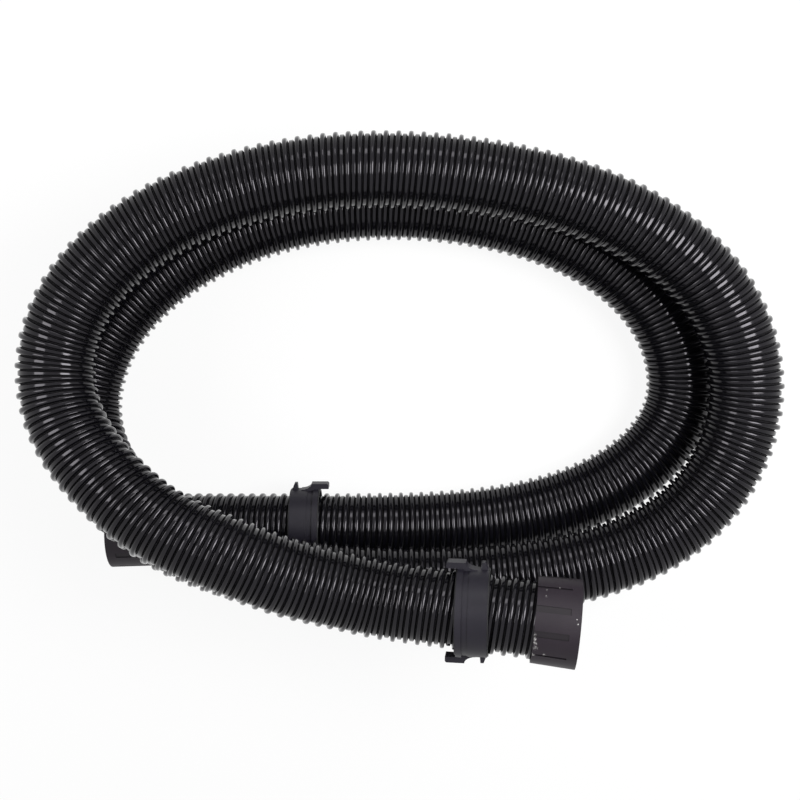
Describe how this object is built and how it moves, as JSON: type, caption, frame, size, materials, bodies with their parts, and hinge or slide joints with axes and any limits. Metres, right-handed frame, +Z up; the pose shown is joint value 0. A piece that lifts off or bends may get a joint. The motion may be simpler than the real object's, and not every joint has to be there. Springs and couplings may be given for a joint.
{
  "type": "pool vacuum hose",
  "caption": "Coiled ribbed pool vacuum hose with a swivelling socket cuff on each end and a tabbed locking ring that slides and turns on each straight end",
  "frame": {"origin": "on the floor under the centre of the coiled hose", "axes": "+Z up; +X to the right along the long way of the oval coil, towards the mouth of cuff A; +Y towards the back of the coil, away from cuff A"},
  "size_m": [0.4517, 0.3038, 0.1541],
  "materials": {
    "hose": "moulded gloss black, fine flow lines along the ribs",
    "cuff": "matte charcoal moulding, light scuffs at the hose end",
    "lock_ring": "satin charcoal moulding",
    "collar": "matte dark moulding",
    "insert": "matte moulding",
    "snap_ring": "matte acetal ring",
    "seal": "soft black rubber"
  },
  "bodies": {
    "hose": {"hose_lead_a": "hose", "hose_coil": "hose", "hose_lead_b": "hose", "nipple_a": "insert", "seal_a": "seal", "nipple_b": "insert", "seal_b": "seal"},
    "cuff_a": {"cuff_a": "cuff", "snap_ring_a": "snap_ring"},
    "cuff_b": {"cuff_b": "cuff", "snap_ring_b": "snap_ring"},
    "collar_a": {"collar_a": "collar"},
    "lock_ring_a": {"lock_ring_a": "lock_ring"},
    "collar_b": {"collar_b": "collar"},
    "lock_ring_b": {"lock_ring_b": "lock_ring"}
  },
  "joints": [
    {"name": "cuff_a_swivel", "type": "hinge", "parent": "hose", "child": "cuff_a", "pos_m": [0.084, -0.1257, 0.1277], "axis": [0.9892, -0.0882, 0.117], "continuous": true},
    {"name": "ring_a_slide", "type": "slide", "parent": "hose", "child": "collar_a", "axis": [0.9892, -0.0882, 0.117], "range_m": [-0.018, 0.02]},
    {"name": "ring_a_turn", "type": "hinge", "parent": "collar_a", "child": "lock_ring_a", "pos_m": [0.03562, -0.12139, 0.12198], "axis": [0.9931, -0.0097, 0.1166], "range_deg": [-45, 45]},
    {"name": "cuff_b_swivel", "type": "hinge", "parent": "hose", "child": "cuff_b", "pos_m": [-0.182, -0.0957, 0.026], "axis": [-1, 0, 0], "continuous": true},
    {"name": "ring_b_slide", "type": "slide", "parent": "hose", "child": "collar_b", "axis": [-1, 0, 0], "range_m": [0, 0.05]},
    {"name": "ring_b_turn", "type": "hinge", "parent": "collar_b", "child": "lock_ring_b", "pos_m": [-0.0676, -0.0949, 0.026], "axis": [-1, 0, 0], "range_deg": [-35, 35]}
  ]
}
